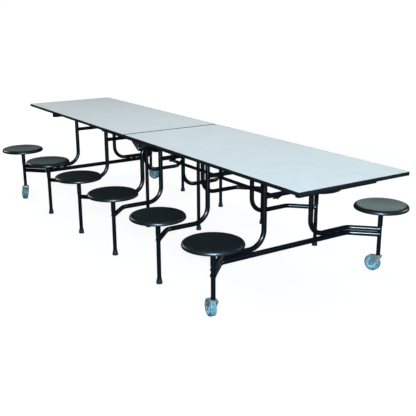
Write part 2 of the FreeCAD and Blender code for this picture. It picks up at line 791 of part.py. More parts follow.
def build():
    frames()
    hinge_pins()
    for side in SIDES:
        leaf(side)
        pivots(side)
        hinge(side)
        battens(side)
        link_rod(side)
        feet(side)
        stools(side)
        casters(side)
    doc.recompute()


def check():
    """Stops before anything is written if an object failed or a shape is not sound."""
    for made in doc.Objects:
        if "Invalid" in made.State or "Error" in made.State:
            raise RuntimeError(f"{made.Label} failed: {made.State}")
    for label, made in sub_parts.items():
        if made.Shape.isNull() or not made.Shape.isValid() or not made.Shape.Solids:
            raise RuntimeError(f"{label} has no sound solid")


def write():
    os.makedirs("parts", exist_ok=True)
    for label, made in sub_parts.items():
        made.Shape.exportStep(os.path.join("parts", f"{label}.step"))
        print(f"{label}: {len(made.Shape.Solids)} solids, {made.Shape.Volume / 1000:.1f} cm3")


build()
check()
write()
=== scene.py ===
# %% [markdown]
# # A folding dining table with round swivel stools
# The table is a steel frame under two laminated leaves, and its tubes, leaves and brackets come from
# a CAD model that is loaded as a fixed frame.  Blender adds what a drawing of the solids leaves out:
# moulded seats, rubber boots, cast wheels, bolts, screws and weld seams, and the finish of every
# surface.  All sizes are in metres, in the frame of the model: X along the table, Z up.

import json
import math

import bmesh
import bpy
from mathutils import Matrix, Vector

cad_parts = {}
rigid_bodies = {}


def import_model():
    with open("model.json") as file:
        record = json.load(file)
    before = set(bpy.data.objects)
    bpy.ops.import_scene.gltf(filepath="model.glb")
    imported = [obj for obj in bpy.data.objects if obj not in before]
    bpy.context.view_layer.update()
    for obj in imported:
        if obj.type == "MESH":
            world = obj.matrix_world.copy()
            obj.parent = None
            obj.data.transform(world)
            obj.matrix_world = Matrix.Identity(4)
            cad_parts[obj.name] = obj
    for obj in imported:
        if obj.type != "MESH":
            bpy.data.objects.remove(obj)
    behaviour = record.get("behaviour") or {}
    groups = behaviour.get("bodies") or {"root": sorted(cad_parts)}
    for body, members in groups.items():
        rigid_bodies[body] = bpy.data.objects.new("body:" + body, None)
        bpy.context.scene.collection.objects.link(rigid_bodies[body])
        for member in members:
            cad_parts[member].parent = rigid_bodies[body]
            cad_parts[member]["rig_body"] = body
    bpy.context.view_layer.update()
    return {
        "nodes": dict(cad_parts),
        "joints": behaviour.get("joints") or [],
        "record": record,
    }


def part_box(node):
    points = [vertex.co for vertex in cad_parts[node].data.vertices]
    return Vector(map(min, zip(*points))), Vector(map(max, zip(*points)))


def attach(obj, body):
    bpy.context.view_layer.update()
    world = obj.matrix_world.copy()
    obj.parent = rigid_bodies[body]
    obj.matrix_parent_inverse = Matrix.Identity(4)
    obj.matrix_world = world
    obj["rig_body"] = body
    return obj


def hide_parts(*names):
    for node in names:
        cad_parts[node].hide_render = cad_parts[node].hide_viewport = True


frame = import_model()
nodes = frame["nodes"]
joints = {joint["name"]: joint for joint in frame["joints"]}

# %% [markdown]
# ## Camera
# A picture is matched first in its viewpoint, because every later comparison depends on it.  One
# could turn the camera by hand until the edges line up.  Here its place, heading and tilt were worked
# out from the corners of the table top, so they are plain numbers.

# %% Camera
CAMERA_PLACE = Vector((4.2583, -2.4847, 1.6016))
CAMERA_HEADING = math.radians(146.77)
CAMERA_TILT = math.radians(-16.385)
CAMERA_ROLL = math.radians(-0.23)
SENSOR_MM = 36.0
LENS_MM = 60.75
UP = Vector((0, 0, 1))

camera_lens = bpy.data.cameras.new("camera")
camera_lens.sensor_width = SENSOR_MM
camera_lens.lens = LENS_MM
camera = bpy.data.objects.new("camera", camera_lens)
level = Vector((math.cos(CAMERA_HEADING), math.sin(CAMERA_HEADING), 0))
looking = level * math.cos(CAMERA_TILT) + UP * math.sin(CAMERA_TILT)
turn = looking.to_track_quat("-Z", "Y").to_matrix() @ Matrix.Rotation(CAMERA_ROLL, 3, "Z")
camera.matrix_world = Matrix.Translation(CAMERA_PLACE) @ turn.to_4x4()
bpy.context.scene.collection.objects.link(camera)
bpy.context.scene.camera = camera
print("camera at", tuple(round(number, 3) for number in camera.location))

# %% [markdown]
# ## Floor and backdrop
# A studio floor runs up into the wall without a corner, so that no horizon shows behind the object.
# The cove is one outline, floor and wall with a wide round between them, spun about the middle of the
# table.  It glows by itself and is seen by the camera alone, because black paint that mirrors a white
# floor looks grey.

# %% Floor and backdrop
COVE_RADIUS = 16.0
COVE_HEIGHT = 12.0
COVE_ROUND = 6.0
COVE_STEPS = 64
COVE_ROUND_STEPS = 12
COVE_MERGE = 0.00001

cove_form = bmesh.new()
cove_line = [(0, 0), (COVE_RADIUS, 0), (COVE_RADIUS, COVE_HEIGHT)]
cove_corners = [cove_form.verts.new((radius, 0, height)) for radius, height in cove_line]
for pair in zip(cove_corners, cove_corners[1:]):
    cove_form.edges.new(pair)
bmesh.ops.bevel(cove_form, geom=[cove_corners[1]], offset=COVE_ROUND, segments=COVE_ROUND_STEPS,
                profile=0.5, affect="VERTICES", material=-1)
bmesh.ops.spin(cove_form, geom=cove_form.verts[:] + cove_form.edges[:], cent=(0, 0, 0), axis=UP,
               angle=math.tau, steps=COVE_STEPS, use_merge=True)
bmesh.ops.remove_doubles(cove_form, verts=cove_form.verts, dist=COVE_MERGE)
cove_mesh = bpy.data.meshes.new("cove")
cove_form.to_mesh(cove_mesh)
cove = bpy.data.objects.new("cove", cove_mesh)
bpy.context.scene.collection.objects.link(cove)
cove.visible_glossy = False
cove.visible_diffuse = False
print(f"cove: {len(cove_mesh.polygons)} faces")

# %% [markdown]
# ## Light
# Black tubes are drawn by their highlights, so the light matters as much as the paint.  One wide
# softbox over the table lights the tops, and one beyond each end lights the leaves when they stand
# folded.  Nothing mirrors these three.  A flash close above the camera draws the bright lines on tubes
# and rims that face the viewer and lights the wheels, and two weaker ones do the same for the sides
# that face away.  Two small cards behind the table are mirrored in the seats at its ends, and a narrow
# spread keeps their light off the other pieces.

# %% Light
WORLD_COLOUR = (0.60, 0.86, 1.0, 1)
WORLD_STRENGTH = 0.02
world = bpy.data.worlds.new("studio")
world.use_nodes = True
world.node_tree.nodes["Background"].inputs["Color"].default_value = WORLD_COLOUR
world.node_tree.nodes["Background"].inputs["Strength"].default_value = WORLD_STRENGTH
bpy.context.scene.world = world
bpy.context.scene.view_settings.view_transform = "Standard"


def softbox(name, place, target, width, height, power, colour):
    """A rectangular light that faces a point and isn't seen itself."""
    light = bpy.data.lights.new(name, "AREA")
    light.shape = "RECTANGLE"
    light.size = width
    light.size_y = height
    light.energy = power
    light.color = colour
    lamp = bpy.data.objects.new(name, light)
    facing = (Vector(target) - Vector(place)).to_track_quat("-Z", "Y")
    lamp.matrix_world = Matrix.Translation(place) @ facing.to_matrix().to_4x4()
    lamp.visible_camera = False
    bpy.context.scene.collection.objects.link(lamp)
    print(f"softbox {name}: {width} by {height} m, {power} W")
    return lamp


# %% Place the lights
SIDES = (("left", -1), ("right", 1))
WHITE_LIGHT = (1.0, 1.0, 1.0)
COOL_LIGHT = (0.57, 0.83, 1.0)
GREEN_LIGHT = (0.78, 1.0, 0.98)
CARD_SPREAD = math.radians(20)
FILL_DISTANCE = 6.0
FILL_HEIGHT = 0.78

overhead = softbox("overhead", (0.4, 0.0, 3.6), (0.4, 0, 0.7), 5.6, 2.4, 115, WHITE_LIGHT)
overhead.visible_glossy = False
for side, sign in SIDES:
    fill = softbox(f"fill_{side}", (sign * FILL_DISTANCE, 0, FILL_HEIGHT), (0, 0, FILL_HEIGHT),
                   2.4, 1.2, 110, WHITE_LIGHT)
    fill.visible_glossy = False
softbox("side_left", (-4.5, -2.2, 2.2), (-0.6, 0, 0.4), 1.4, 1.0, 45, WHITE_LIGHT)
softbox("side_back", (2.6, 4.6, 2.2), (0.2, 0, 0.4), 1.4, 1.0, 45, WHITE_LIGHT)
softbox("flash", (4.27, -2.47, 1.63), (0.4, 0, 0.4), 0.26, 0.18, 200, COOL_LIGHT)
card_behind = softbox("card_behind", (-1.5, 3.8, 1.6), (1.44, 0.7, 0.43),
                      1.0, 0.9, 0.095, GREEN_LIGHT)
card_far = softbox("card_far", (-4.3, 0.33, 1.02), (-1.44, -0.61, 0.43),
                   0.9, 0.5, 0.020, GREEN_LIGHT)
for card in (card_behind, card_far):
    card.data.spread = CARD_SPREAD

# %% [markdown]
# ## A short way to write materials
# A node material is a drawing of boxes and wires, and in a script its arithmetic soon hides the idea.
# The wires are wrapped so that Python's own operators add the Math nodes: `1 - mask` or `grain * 0.3`
# reads as it would on paper.  Every other node comes from one method.

# %% Finishes as expressions
class Wire:
    """An output of a node; sums, products and comparisons of wires add Math nodes."""

    def __init__(self, finish, socket):
        self.finish = finish
        self.socket = socket

    def math(self, operation, first, second):
        return self.finish.node("ShaderNodeMath", {"operation": operation}, {0: first, 1: second})

    def __add__(self, other):
        return self.math("ADD", self, other)

    def __radd__(self, other):
        return self.math("ADD", other, self)

    def __sub__(self, other):
        return self.math("SUBTRACT", self, other)

    def __rsub__(self, other):
        return self.math("SUBTRACT", other, self)

    def __mul__(self, other):
        return self.math("MULTIPLY", self, other)

    def __rmul__(self, other):
        return self.math("MULTIPLY", other, self)

    def __gt__(self, other):
        return self.math("GREATER_THAN", self, other)

    def __lt__(self, other):
        return self.math("LESS_THAN", self, other)


class Finish:
    """A material with one principled shader, and the method that adds any node to it."""

    def __init__(self, name, **constants):
        self.material = bpy.data.materials.new(name)
        self.material.use_nodes = True
        self.tree = self.material.node_tree
        self.shader = self.tree.nodes["Principled BSDF"]
        for socket, number in constants.items():
            self.shader.inputs[socket.replace("_", " ")].default_value = number

    def node(self, kind, settings, feeds, output=0):
        made = self.tree.nodes.new(kind)
        for field, setting in settings.items():
            setattr(made, field, setting)
        for socket, source in feeds.items():
            self.feed(made.inputs[socket], source)
        return Wire(self, made.outputs[output])

    def feed(self, socket, source):
        if isinstance(source, Wire):
            self.tree.links.new(source.socket, socket)
        else:
            socket.default_value = source

    def show(self, **sources):
        for socket, source in sources.items():
            self.feed(self.shader.inputs[socket.replace("_", " ")], source)
        print(f"finish {self.material.name}: {len(self.tree.nodes)} nodes")
        return self.material

    def place(self):
        return self.node("ShaderNodeTexCoord", {}, {}, "Object")

    def height(self):
        return self.node("ShaderNodeSeparateXYZ", {}, {"Vector": self.place()}, "Z")

    def noise(self, scale, detail=2.0):
        feeds = {"Vector": self.place(), "Scale": scale, "Detail": detail}
        return self.node("ShaderNodeTexNoise", {}, feeds)

    def ramp(self, source, low, high):
        """0 where the source is below low, 1 above high, and a smooth step between them."""
        feeds = {"Value": source, "From Min": low, "From Max": high}
        return self.node("ShaderNodeMapRange", {"interpolation_type": "SMOOTHSTEP"}, feeds)

    def mix(self, share, first, second):
        """A blend of two colours; the colour sockets of a Mix node are numbers 6, 7 and 2."""
        return self.node("ShaderNodeMix", {"data_type": "RGBA"}, {0: share, 6: first, 7: second}, 2)

    def bump(self, height, depth, strength=1.0):
        feeds = {"Strength": strength, "Distance": depth, "Height": height}
        return self.node("ShaderNodeBump", {}, feeds)


# %% [markdown]
# ## Floor paint
# The cove is painted an even white that glows.  Near the table it glows a little less, so that the
# table still throws a faint shade on the floor.

# %% Floor paint
FLOOR_DIFFUSE = 0.14
NEAR_GLOW = 0.90
SHADE_START = 2.6
SHADE_END = 5.0


def cove_paint():
    paint = (FLOOR_DIFFUSE, FLOOR_DIFFUSE, FLOOR_DIFFUSE, 1)
    finish = Finish("cove_paint", Base_Color=paint, Roughness=0.9, Emission_Strength=1.0)
    distance = finish.node("ShaderNodeVectorMath", {"operation": "LENGTH"}, {0: finish.place()}, "Value")
    away = finish.ramp(distance, SHADE_START, SHADE_END)
    near_white = (NEAR_GLOW, NEAR_GLOW, NEAR_GLOW, 1)
    far_white = (1, 1, 1, 1)
    return finish.show(Emission_Color=finish.mix(away, near_white, far_white))


cove_mesh.materials.append(cove_paint())

# %% [markdown]
# ## Laminate
# The leaves are board with a pale grey-blue laminate on top, printed with a fine speckle, and a dark
# backing sheet below.  The two could be separate materials on separate faces.  The board's faces are
# known by their height, so one finish can change from one sheet to the other at the underside.

# %% Laminate
board_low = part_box("leaf_core_right")[0]
LAMINATE_PALE = (0.68, 0.745, 0.760, 1)
LAMINATE_SPECK = (0.58, 0.645, 0.665, 1)
BACKING_DARK = (0.040, 0.038, 0.036, 1)
BACKING_WARM = (0.060, 0.052, 0.045, 1)
BACKING_THICK = 0.001
LAMINATE_GRAIN = 0.00004


def laminate():
    finish = Finish("laminate_sheet", IOR=1.5)
    speck = finish.ramp(finish.noise(620, 3), 0.50, 0.68)
    cloud = finish.ramp(finish.noise(9, 2), 0.35, 0.70)
    top = finish.mix(speck * 0.55 + cloud * 0.25, LAMINATE_PALE, LAMINATE_SPECK)
    backing = finish.mix(finish.noise(180), BACKING_DARK, BACKING_WARM)
    below = finish.height() < (board_low.z + BACKING_THICK)
    return finish.show(Base_Color=finish.mix(below, top, backing),
                       Roughness=0.48 + 0.12 * finish.noise(35) + 0.20 * below,
                       Normal=finish.bump(finish.noise(900), LAMINATE_GRAIN))


laminate_sheet = laminate()

# %% [markdown]
# ## Black powder coat
# The tubes, brackets and plates are sprayed with black powder and baked.  The film is a little wavy,
# like orange peel, which breaks up the edges of reflections, and it is rubbed where shoes reach the
# tubes.  Fine noise in the bump gives the first, and a mask that fades with height gives the second.

# %% Black powder coat
COAT_BLACK = (0.0030, 0.0045, 0.0070, 1)
COAT_RUBBED = (0.040, 0.045, 0.050, 1)
SOLE_HEIGHT = 0.05
SHOE_HEIGHT = 0.34
PEEL_DEPTH = 0.00012


def powder_coat():
    finish = Finish("black_powder_coat", IOR=1.52, Specular_IOR_Level=0.6,
                    Coat_Weight=0.6, Coat_Roughness=0.20)
    peel = finish.noise(420, 2)
    scuffs = finish.ramp(finish.noise(95, 5), 0.60, 0.74)
    reach = 1 - finish.ramp(finish.height(), SOLE_HEIGHT, SHOE_HEIGHT)
    worn = scuffs * reach * 0.7
    return finish.show(Base_Color=finish.mix(worn, COAT_BLACK, COAT_RUBBED),
                       Roughness=0.26 + 0.08 * finish.noise(60) + 0.25 * worn,
                       Normal=finish.bump(peel, PEEL_DEPTH, 0.6))


black_coat = powder_coat()

# %% [markdown]
# ## Edge moulding, rubber and seat plastic
# Three blacks that a photograph still tells apart.  The moulding round the leaves is matte vinyl, the
# boots are dull rubber with dust near the floor, and the seats are satin plastic with a fine pebble
# grain on top and a smooth rim.  Each has its own roughness and its own scale of grain.

# %% Black plastics
VINYL_BLACK = (0.006, 0.007, 0.009, 1)
VINYL_GREY = (0.011, 0.012, 0.014, 1)
RUBBER_BLACK = (0.011, 0.012, 0.013, 1)
RUBBER_DUST = (0.085, 0.083, 0.078, 1)
SEAT_BLACK = (0.0065, 0.0095, 0.0110, 1)
SEAT_GREY = (0.0120, 0.0165, 0.0180, 1)
DUST_FULL = 0.004
DUST_GONE = 0.022
VINYL_GRAIN = 0.00006
RUBBER_GRAIN = 0.00008
PEBBLE_DEPTH = 0.00010


def edge_vinyl():
    finish = Finish("edge_vinyl", IOR=1.5, Specular_IOR_Level=0.3)
    grain = finish.noise(700, 3)
    return finish.show(Base_Color=finish.mix(finish.noise(25), VINYL_BLACK, VINYL_GREY),
                       Roughness=0.40 + 0.12 * grain,
                       Normal=finish.bump(grain, VINYL_GRAIN))


def boot_rubber():
    finish = Finish("boot_rubber", IOR=1.5)
    patches = finish.ramp(finish.noise(160, 4), 0.42, 0.75)
    dust = patches * (1 - finish.ramp(finish.height(), DUST_FULL, DUST_GONE))
    return finish.show(Base_Color=finish.mix(dust * 0.6, RUBBER_BLACK, RUBBER_DUST),
                       Roughness=0.50 + 0.2 * finish.noise(240),
                       Normal=finish.bump(finish.noise(900), RUBBER_GRAIN))


def seat_plastic():
    finish = Finish("seat_plastic", IOR=1.5, Specular_IOR_Level=1.0)
    pebble = finish.node("ShaderNodeTexVoronoi", {"feature": "SMOOTH_F1"},
                         {"Vector": finish.place(), "Scale": 520.0}, "Distance")
    streak = finish.ramp(finish.noise(38, 4), 0.40, 0.72)
    return finish.show(Base_Color=finish.mix(streak * 0.7, SEAT_BLACK, SEAT_GREY),
                       Roughness=0.32 + 0.10 * finish.noise(55, 3),
                       Normal=finish.bump(pebble, PEBBLE_DEPTH, 0.4))


black_vinyl = edge_vinyl()
black_rubber = boot_rubber()
black_seat = seat_plastic()

# %% [markdown]
# ## Zinc and wheel plastics
# Bolts and caster forks are zinc plated: a bright metal with a faint blue cast and a patchy shine.
# The wheels are a pale blue-grey core with a darker tyre moulded round it, both a little glossy.

# %% Zinc and wheel plastics
ZINC_BRIGHT = (0.78, 0.82, 0.84, 1)
ZINC_DULL = (0.54, 0.58, 0.58, 1)
CORE_PALE = (0.44, 0.68, 0.78, 1)
CORE_DEEP = (0.24, 0.46, 0.58, 1)
TYRE_BLUE = (0.11, 0.24, 0.30, 1)
TYRE_GREY = (0.26, 0.40, 0.42, 1)
ZINC_GRAIN = 0.00004
WHEEL_GRAIN = 0.00005


def zinc_plate():
    finish = Finish("zinc_plate", Metallic=0.7)
    patch = finish.noise(140, 3)
    return finish.show(Base_Color=finish.mix(finish.ramp(patch, 0.35, 0.7), ZINC_BRIGHT, ZINC_DULL),
                       Roughness=0.30 + 0.22 * patch,
                       Normal=finish.bump(finish.noise(650), ZINC_GRAIN))


def wheel_plastic(name, pale, deep, roughness, scale):
    finish = Finish(name, IOR=1.48)
    patch = finish.noise(scale, 3)
    return finish.show(Base_Color=finish.mix(finish.ramp(patch, 0.35, 0.7), pale, deep),
                       Roughness=roughness + 0.15 * patch,
                       Normal=finish.bump(finish.noise(800), WHEEL_GRAIN))


bright_zinc = zinc_plate()
wheel_core = wheel_plastic("wheel_core", CORE_PALE, CORE_DEEP, 0.25, 90)
wheel_tyre = wheel_plastic("wheel_tyre", TYRE_BLUE, TYRE_GREY, 0.34, 60)

# %% [markdown]
# ## Finishes for the CAD pieces that stay
# Tubes, brackets, hinge plates, seat stems and boards already have their right shape.  They keep
# their meshes and only get a better material in the slot that they came with.

# %% Paint the CAD pieces
SLOT_FINISHES = {"laminate": laminate_sheet, "edge_black": black_vinyl, "frame_black": black_coat,
                 "zinc": bright_zinc, "foot_rubber": black_rubber, "seat_plastic": black_seat,
                 "wheel_grey": wheel_tyre}
for row in frame["record"]["subparts"]:
    mesh = nodes[row["node"]].data
    mesh.materials.clear()
    mesh.materials.append(SLOT_FINISHES[row["material_slot"]])

# %% [markdown]
# ## Helpers for new pieces
# Most new pieces are turned on a lathe in real life: seats, boots, wheels.  A half outline is drawn
# as a few corner points, its corners are rounded by a vertex bevel, and spin carries it round.  Every
# piece is then made an object at the origin, with its place in its mesh, and rides on a CAD body.
# Some CAD nodes hold several solids apart from one another: joining the vertices that touch and
# walking along the edges finds each solid's box.

# %% Turned forms and finished pieces
ROUND_STEPS = 5
SHARP_ANGLE = math.radians(38)
POINT_MERGE = 0.000001
SOLID_MERGE = 0.000005


def turned(outline, rounds, steps, closed=False):
    """A form turned about Z from (radius, height) points; rounds gives the setback at some of them."""
    form = bmesh.new()
    corners = [form.verts.new((radius, 0, height)) for radius, height in outline]
    pairs = list(zip(corners, corners[1:]))
    if closed:
        pairs.append((corners[-1], corners[0]))
    for pair in pairs:
        form.edges.new(pair)
    for number, setback in rounds.items():
        bmesh.ops.bevel(form, geom=[corners[number]], offset=setback, segments=ROUND_STEPS,
                        profile=0.5, affect="VERTICES", material=-1)
    bmesh.ops.spin(form, geom=form.verts[:] + form.edges[:], cent=(0, 0, 0), axis=UP,
                   angle=math.tau, steps=steps, use_merge=True)
    bmesh.ops.remove_doubles(form, verts=form.verts, dist=POINT_MERGE)
    bmesh.ops.recalc_face_normals(form, faces=form.faces)
    return form


def join(form, other, matrix=None):
    """Adds a copy of another form, moved by a matrix, to a form."""
    mesh = bpy.data.meshes.new("joined")
    other.to_mesh(mesh)
    if matrix is not None:
        mesh.transform(matrix)
    form.from_mesh(mesh)
    bpy.data.meshes.remove(mesh)


def piece(name, form, finishes, body, slot, *replaced):
    """Makes a form a finished piece that rides on a body."""
    mesh = bpy.data.meshes.new(name)
    form.to_mesh(mesh)
    for finish in finishes:
        mesh.materials.append(finish)
    mesh.polygons.foreach_set("use_smooth", [True] * len(mesh.polygons))
    mesh.set_sharp_from_angle(angle=SHARP_ANGLE)
    made = bpy.data.objects.new(name, mesh)
    bpy.context.scene.collection.objects.link(made)
    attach(made, body)
    if replaced:
        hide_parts(*replaced)
    return made


def middle(node):
    """The middle of a CAD node's box."""
    low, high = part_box(node)
    return (low + high) / 2


def islands(node):
    """The boxes of the separate solids of a CAD node, in the order of their corners."""
    copied = bmesh.new()
    copied.from_mesh(nodes[node].data)
    bmesh.ops.remove_doubles(copied, verts=copied.verts, dist=SOLID_MERGE)
    waiting = set(copied.verts)
    boxes = []
    while waiting:
        reached = [waiting.pop()]
        corners = []
        while reached:
            vert = reached.pop()
            corners.append(vert.co)
            for edge in vert.link_edges:
                other = edge.other_vert(vert)
                if other in waiting:
                    waiting.remove(other)
                    reached.append(other)
        boxes.append((Vector(map(min, zip(*corners))), Vector(map(max, zip(*corners)))))
    return sorted(boxes, key=lambda box: tuple(box[0]))


# %% [markdown]
# ## Seats
# Each stool has a round moulded seat: a shallow dish inside a rolled rim, a deep rounded edge, and
# ribs in the hollow underneath.  A subdivided disc could be pushed into shape, but the seat is the
# same all round, so its half outline is spun.  The dish follows a parabola, so it has no crease.

# %% Seat form
seat_low, seat_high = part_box("seat_right_end_near")
SEAT_RADIUS = (seat_high.x - seat_low.x) / 2
SEAT_THICK = seat_high.z - seat_low.z
SEAT_DISH = 0.005
RIM_WIDTH = 0.026
SKIRT_WIDTH = 0.023
BOSS_RADIUS = 0.080
HOLLOW_DEPTH = 0.021
RIM_THICK = 0.025
DISH_POINTS = 5
RIB_COUNT = 12
RIB_THICK = 0.003
RIB_DEPTH = 0.009
SEAT_ROUNDS = {1: 0.002, 2: 0.003, 3: 0.003, 4: 0.002, 5: 0.006, 6: 0.018, 7: 0.007}
SEAT_STEPS = 96


def seat_outline():
    """Half outline from the middle of the underside, round the rim, to the middle of the dish."""
    dish_radius = SEAT_RADIUS - RIM_WIDTH
    rim_low = SEAT_THICK - RIM_THICK
    outline = [(0, 0), (BOSS_RADIUS, 0), (BOSS_RADIUS, HOLLOW_DEPTH),
               (SEAT_RADIUS - SKIRT_WIDTH, HOLLOW_DEPTH), (SEAT_RADIUS - SKIRT_WIDTH, rim_low),
               (SEAT_RADIUS, rim_low), (SEAT_RADIUS, SEAT_THICK), (dish_radius, SEAT_THICK)]
    for number in range(1, DISH_POINTS + 1):
        share = 1 - number / DISH_POINTS
        outline.append((dish_radius * share, SEAT_THICK - SEAT_DISH * (1 - share * share)))
    return outline


def seat_form():
    """The seat above the origin, with the ribs in its hollow."""
    form = turned(seat_outline(), SEAT_ROUNDS, SEAT_STEPS)
    rib = bmesh.new()
    bmesh.ops.create_cube(rib, size=1)
    span = SEAT_RADIUS - SKIRT_WIDTH - BOSS_RADIUS
    bmesh.ops.scale(rib, verts=rib.verts, vec=(span, RIB_THICK, RIB_DEPTH))
    bmesh.ops.translate(rib, verts=rib.verts,
                        vec=(BOSS_RADIUS + span / 2, 0, HOLLOW_DEPTH - RIB_DEPTH / 2))
    for number in range(RIB_COUNT):
        join(form, rib, Matrix.Rotation(number * math.tau / RIB_COUNT, 4, "Z"))
    print(f"seat: radius {SEAT_RADIUS:.3f}, {len(form.faces)} faces")
    return form


# %% Place the seats
seat = seat_form()
STOOLS = [node[len("seat_stem_"):] for node in nodes if node.startswith("seat_stem_")]
for stool in STOOLS:
    centre = middle(f"seat_{stool}")
    form = seat.copy()
    bmesh.ops.translate(form, verts=form.verts, vec=(centre.x, centre.y, seat_low.z))
    piece(f"moulded_seat_{stool}", form, [black_seat], f"seat_{stool}", "seat_plastic", f"seat_{stool}")
print(f"placed {len(STOOLS)} seats")

# %% [markdown]
# ## Rubber boots
# The posts and legs end in pushed-on rubber boots that flare towards the floor like a bell.  A cone
# would have hard edges, so the outline narrows in two steps and its corners are rounded by a bevel,
# with a bead round the mouth of the socket.

# %% Boots
BOOT_WAIST = 0.0163
BOOT_NECK = 0.0147
BOOT_MOUTH = 0.0150
POST_RADIUS = 0.0127
SOCKET_FLOOR = 0.010
FLARE_SHARE = 0.30
WAIST_SHARE = 0.62
NECK_SHARE = 0.86
BEAD_SHARE = 0.90
BOOT_ROUNDS = {1: 0.003, 2: 0.004, 3: 0.005, 6: 0.0012}
BOOT_STEPS = 40


def boot_form(radius, height):
    """A boot that stands on the origin, with the socket for its post open at the top."""
    outline = [(0, 0), (radius, 0), (radius, FLARE_SHARE * height), (BOOT_WAIST, WAIST_SHARE * height),
               (BOOT_NECK, NECK_SHARE * height), (BOOT_MOUTH, BEAD_SHARE * height), (BOOT_MOUTH, height),
               (POST_RADIUS, height), (POST_RADIUS, SOCKET_FLOOR), (0, SOCKET_FLOOR)]
    return turned(outline, BOOT_ROUNDS, BOOT_STEPS)


for node in [name for name in nodes if "_feet_" in name]:
    boots = bmesh.new()
    for low, high in islands(node):
        boot = boot_form((high.x - low.x) / 2, high.z)
        join(boots, boot, Matrix.Translation(((low.x + high.x) / 2, (low.y + high.y) / 2, 0)))
    piece(f"rubber_{node}", boots, [black_rubber], nodes[node]["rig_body"], "foot_rubber", node)
    print(f"{node}: {len(boots.faces)} faces")

# %% [markdown]
# ## Caster wheels
# The wheels under the two ends have a moulded core with a hub, a thin web with spokes and a rim, and
# a tyre with rounded shoulders.  Core and tyre are turned as two rings, so that each gets its own
# finish, and one spoke is a box that is copied round the hub.

# %% Wheel form
wheel_low, wheel_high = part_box("caster_wheel_right_near")
WHEEL_RADIUS = (wheel_high.z - wheel_low.z) / 2
TYRE_HALF = 0.018
TYRE_INNER = 0.037
HUB_HALF = 0.0205
HUB_RADIUS = 0.017
BORE_RADIUS = 0.00515
WEB_HALF = 0.005
RIM_HALF = 0.0155
RIM_INNER = 0.033
SPOKE_COUNT = 8
SPOKE_THICK = 0.0035
SPOKE_HALF = 0.0125
SPOKE_BITE = 0.002
TYRE_ROUNDS = {1: 0.007, 2: 0.007, 0: 0.001, 3: 0.001}
CORE_ROUNDS = {1: 0.0015, 2: 0.002, 3: 0.002, 4: 0.001, 7: 0.001, 8: 0.002, 9: 0.002, 10: 0.0015}
WHEEL_STEPS = 64
TYRE_INDEX = 1


def wheel_form():
    """A wheel about Z, with the core in the first finish and the tyre in the second."""
    tyre = turned([(TYRE_INNER, -TYRE_HALF), (WHEEL_RADIUS, -TYRE_HALF), (WHEEL_RADIUS, TYRE_HALF),
                   (TYRE_INNER, TYRE_HALF)], TYRE_ROUNDS, WHEEL_STEPS, closed=True)
    core = turned([(BORE_RADIUS, -HUB_HALF), (HUB_RADIUS, -HUB_HALF), (HUB_RADIUS, -WEB_HALF),
                   (RIM_INNER, -WEB_HALF), (RIM_INNER, -RIM_HALF), (TYRE_INNER, -RIM_HALF),
                   (TYRE_INNER, RIM_HALF), (RIM_INNER, RIM_HALF), (RIM_INNER, WEB_HALF),
                   (HUB_RADIUS, WEB_HALF), (HUB_RADIUS, HUB_HALF), (BORE_RADIUS, HUB_HALF)],
                  CORE_ROUNDS, WHEEL_STEPS, closed=True)
    spoke = bmesh.new()
    bmesh.ops.create_cube(spoke, size=1)
    span = RIM_INNER - HUB_RADIUS
    bmesh.ops.scale(spoke, verts=spoke.verts, vec=(span + SPOKE_BITE, SPOKE_THICK, 2 * SPOKE_HALF))
    bmesh.ops.translate(spoke, verts=spoke.verts, vec=(HUB_RADIUS + span / 2, 0, 0))
    for number in range(SPOKE_COUNT):
        join(core, spoke, Matrix.Rotation(number * math.tau / SPOKE_COUNT, 4, "Z"))
    for face in tyre.faces:
        face.material_index = TYRE_INDEX
    join(core, tyre)
    print(f"wheel: radius {WHEEL_RADIUS:.3f}, {len(core.faces)} faces")
    return core


# %% Place the wheels
wheel = wheel_form()
CASTERS = [node[len("caster_fork_"):] for node in nodes if node.startswith("caster_fork_")]
for caster in CASTERS:
    joint = joints[f"wheel_spin_{caster}"]
    upright = UP.rotation_difference(Vector(joint["axis"])).to_matrix().to_4x4()
    form = wheel.copy()
    bmesh.ops.transform(form, verts=form.verts, matrix=Matrix.Translation(joint["pos_m"]) @ upright)
    piece(f"cast_wheel_{caster}", form, [wheel_core, wheel_tyre], f"wheel_{caster}", "wheel_grey",
          f"caster_wheel_{caster}")
print(f"placed {len(CASTERS)} wheels")

# %% [markdown]
# ## Bars, bolts and nuts
# Round and six-sided bars between two points make axles, bolts, nuts, washers and screws.  A cone
# with equal ends is such a bar, and a small bevel round its ends catches the light as a real chamfer
# does.

# %% Bars and bolts
ACROSS = Vector((0, 1, 0))
BOLT_SIDES = 6
ROUND_SIDES = 24
BAR_STEPS = 2
WASHER_THICK = 0.0012
WASHER_EDGE = 0.0003
BOLT_EDGE = 0.0006
BOLT_STUB = 0.0008
HEXAGON_SHARE = 0.94


def bar(form, start, end, radius, sides, chamfer=0.0):
    """Adds a bar from start to end to the form, with its ends chamfered if asked."""
    start = Vector(start)
    end = Vector(end)
    along = end - start
    stand = Matrix.Translation((start + end) / 2) @ along.to_track_quat("Z", "Y").to_matrix().to_4x4()
    made = bmesh.ops.create_cone(form, cap_ends=True, segments=sides, radius1=radius, radius2=radius,
                                 depth=along.length, matrix=stand)
    if chamfer:
        faces = dict.fromkeys(face for vert in made["verts"] for face in vert.link_faces)
        ends = [face for face in faces if len(face.verts) == sides]
        rims = list(dict.fromkeys(edge for face in ends for edge in face.edges))
        bmesh.ops.bevel(form, geom=rims, offset=chamfer, segments=BAR_STEPS, profile=0.5,
                        affect="EDGES", material=-1)


